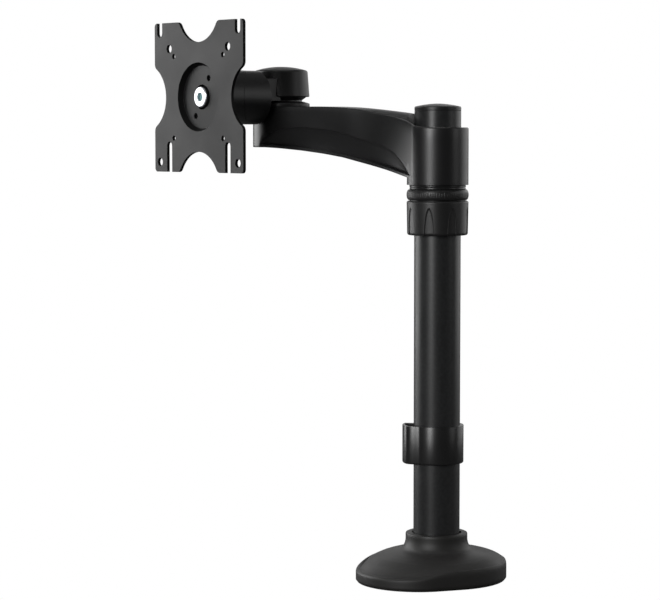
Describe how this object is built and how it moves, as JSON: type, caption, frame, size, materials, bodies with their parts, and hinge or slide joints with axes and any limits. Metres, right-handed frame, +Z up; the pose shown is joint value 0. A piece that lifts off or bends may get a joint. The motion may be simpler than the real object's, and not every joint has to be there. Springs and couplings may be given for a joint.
{
  "type": "monitor arm",
  "caption": "desk monitor arm on a round post with a bolt-down base, one swinging arm, a swivel and tilt head and a screen plate",
  "frame": {"origin": "on the post axis at the underside of the base's rubber pad, in the mouth of the desk bolt's hole", "axes": "+Z up along the post, the screen plate faces -Y, the arm runs toward -X at 193.5 degrees"},
  "size_m": [0.2546, 0.1688, 0.4213],
  "materials": {
    "rubber_black": "matte rubber",
    "raw_steel": "plain turned steel",
    "cover_black": "matte textured black moulding",
    "zinc": "bright zinc plate",
    "black_steel": "black oxide",
    "post_black": "satin black powder coat on steel tube",
    "trim_black": "satin black moulding",
    "gloss_black": "glossy black moulding",
    "acetal": "natural acetal bearing plastic",
    "cast_black": "semi-gloss black powder coat on die-cast aluminium",
    "nylon_teal": "teal nylon",
    "plate_black": "fine satin black powder coat on pressed steel"
  },
  "bodies": {
    "base": {"desk_pad": "rubber_black", "base_plate": "raw_steel", "base_cover": "cover_black", "post_socket": "raw_steel", "base_screws": "zinc", "post_set_screws": "black_steel", "post_tube": "post_black", "post_end_cap": "trim_black"},
    "clip": {"cable_clip": "gloss_black"},
    "carrier": {"collet_sleeve": "acetal", "lock_ring": "trim_black", "bearing_washer": "gloss_black"},
    "collar": {"twist_collar": "trim_black"},
    "arm": {"arm_casting": "cast_black", "arm_channel_cover": "trim_black", "post_bush_lower": "acetal", "post_bush_upper": "acetal", "hub_tension_screw": "black_steel", "pivot_bush_lower": "acetal", "pivot_bush_upper": "acetal", "swivel_washer": "trim_black"},
    "head": {"pivot_disc_springs": "raw_steel", "pivot_washer": "zinc", "pivot_nut": "zinc", "pivot_bolt": "zinc", "swivel_head": "cast_black", "swivel_cap": "trim_black", "tilt_bolt": "black_steel"},
    "tilt": {"tilt_socket": "cast_black", "tilt_friction_washers": "raw_steel", "spindle_screw": "zinc", "spindle_plug": "nylon_teal", "rotation_friction_disc": "acetal"},
    "plate": {"plate_rotor": "black_steel", "rotor_screws": "black_steel", "spindle_washer": "black_steel", "vesa_plate": "plate_black"}
  },
  "joints": [
    {"name": "clip_height", "type": "slide", "parent": "base", "child": "clip", "axis": [0, 0, 1], "range_m": [-0.05, 0.018]},
    {"name": "arm_height", "type": "slide", "parent": "base", "child": "carrier", "axis": [0, 0, 1], "range_m": [-0.12, 0.012]},
    {"name": "collar_twist", "type": "hinge", "parent": "carrier", "child": "collar", "pos_m": [0, 0, 0.27], "axis": [0, 0, 1], "range_deg": [-90, 0]},
    {"name": "arm_swing", "type": "hinge", "parent": "carrier", "child": "arm", "pos_m": [0, 0, 0.31], "axis": [0, 0, 1], "continuous": true},
    {"name": "head_swivel", "type": "hinge", "parent": "arm", "child": "head", "pos_m": [-0.14488, -0.03478, 0.35], "axis": [0, 0, 1], "range_deg": [-166, 13]},
    {"name": "head_tilt", "type": "hinge", "parent": "head", "child": "tilt", "pos_m": [-0.14488, -0.06478, 0.3637], "axis": [1, 0, 0], "range_deg": [-15, 15]},
    {"name": "plate_rotation", "type": "hinge", "parent": "tilt", "child": "plate", "pos_m": [-0.14488, -0.10478, 0.3637], "axis": [0, -1, 0], "range_deg": [-180, 180]}
  ]
}
